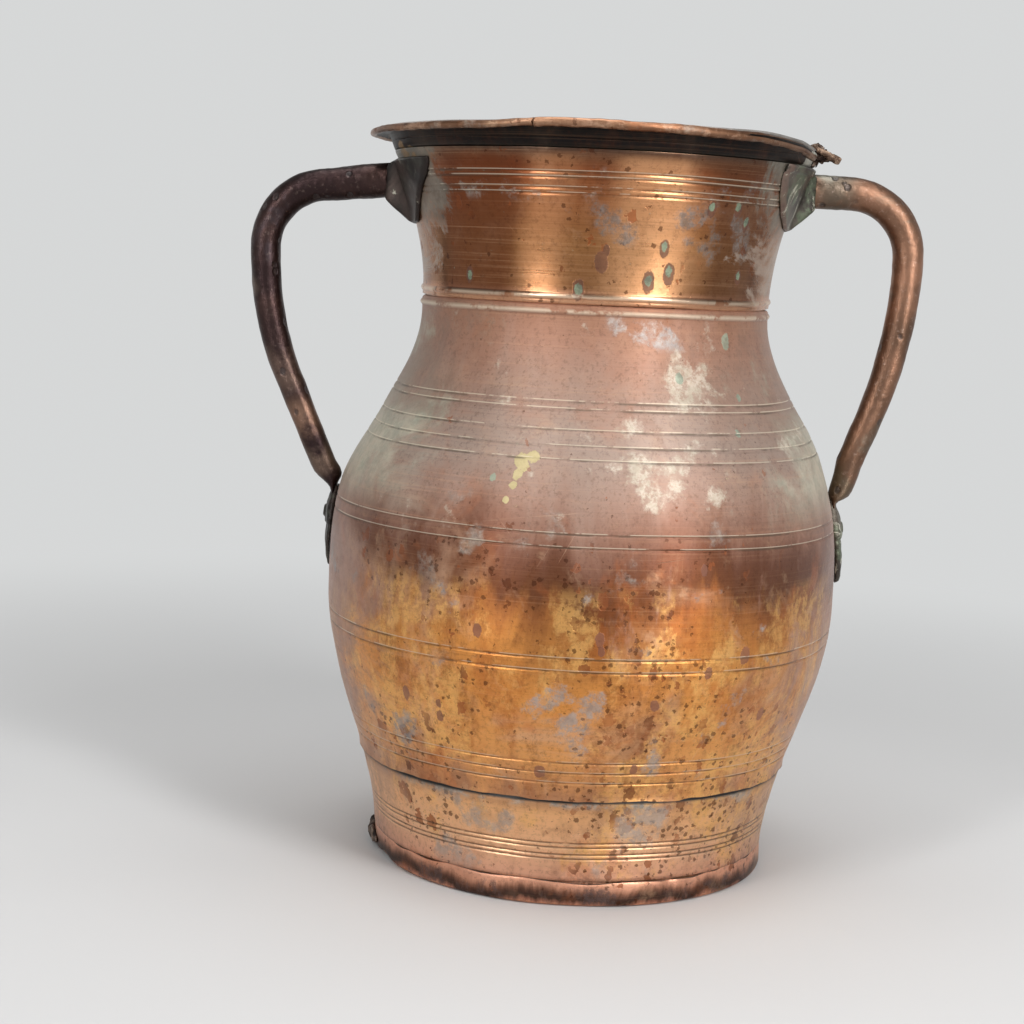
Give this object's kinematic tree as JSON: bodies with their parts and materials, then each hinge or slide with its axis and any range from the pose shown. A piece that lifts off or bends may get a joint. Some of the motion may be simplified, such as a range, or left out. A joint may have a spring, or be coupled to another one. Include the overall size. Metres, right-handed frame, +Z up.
{
  "type": "hot water can",
  "caption": "Copper hot water jar with a waisted neck, flared wired brim, tube side handles on riveted mounts and a hinged drop-in lid.",
  "frame": {"origin": "centre of the face that the jar stands on", "axes": "+Z up along the jar's axis, +X towards the handle beside the lid hinge, +Y to the back as the picture sees it"},
  "size_m": [0.3664, 0.2772, 0.4],
  "materials": {
    "heel_copper": "sooted copper, dark and rough",
    "base_copper": "worn pinkish copper with brown spots",
    "belly_copper": "patinated copper, mauve brown above and orange gold below",
    "neck_copper": "brushed warm copper with drips and scratches",
    "brim_copper": "dull tinned copper, copper-bright at the rolled edge",
    "iron_wire": "dark iron wire",
    "foot_iron": "blackened remnant",
    "dark_mount": "dark grey-green patinated metal",
    "left_tube": "dark brown copper tube with worn speckles",
    "right_tube": "warm brown copper tube",
    "rivet_metal": "dark copper rivet",
    "hinge_metal": "corroded copper hinge",
    "lid_copper": "tinned copper, brown with age"
  },
  "bodies": {
    "jar": {"bottom_plate": "heel_copper", "base_shell": "base_copper", "belly_shell": "belly_copper", "neck_shell": "neck_copper", "collar_brim": "brim_copper", "rim_wire": "iron_wire", "foot_fragment": "foot_iron", "left_upper_socket": "dark_mount", "right_upper_socket": "dark_mount", "left_socket_rivets": "rivet_metal", "right_socket_rivets": "rivet_metal", "left_handle": "left_tube", "right_handle": "right_tube", "left_palmette": "dark_mount", "right_palmette": "dark_mount", "left_palmette_rivet": "rivet_metal", "right_palmette_rivet": "rivet_metal", "rim_hinge_leaf": "hinge_metal", "leaf_rivets": "rivet_metal", "hinge_pin": "hinge_metal"},
    "lid": {"lid_disc": "lid_copper", "lid_hinge_strap": "hinge_metal", "strap_rivets": "rivet_metal", "lid_knob": "lid_copper", "knob_rivet": "rivet_metal"}
  },
  "joints": [
    {"name": "lid_hinge", "type": "hinge", "parent": "jar", "child": "lid", "pos_m": [0.1125, 0, 0.3918], "axis": [0, 1, 0], "range_deg": [0, 110]}
  ]
}
